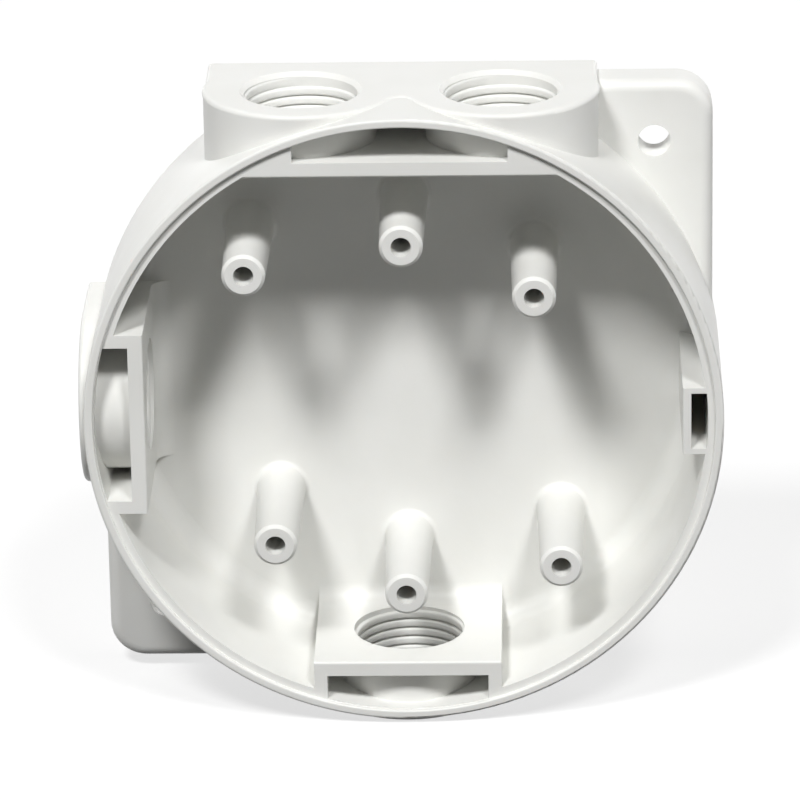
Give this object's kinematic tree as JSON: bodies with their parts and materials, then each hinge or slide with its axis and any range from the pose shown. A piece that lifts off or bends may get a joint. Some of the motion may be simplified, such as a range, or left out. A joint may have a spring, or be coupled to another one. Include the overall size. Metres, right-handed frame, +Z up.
{
  "type": "electrical back box",
  "caption": "Round surface-mount electrical back box with a stepped rim, threaded conduit entries, hollow screw posts and mounting ears.",
  "frame": {"origin": "centre of the flat back face, on the axis of the round cup", "axes": "+Y out of the back face into the wall, the open front faces -Y, +Z up, +X to the right"},
  "size_m": [0.1214, 0.0348, 0.1217],
  "materials": {
    "white_plastic": "white moulded plastic, satin"
  },
  "bodies": {
    "root": {"box_body": "white_plastic"}
  },
  "joints": []
}
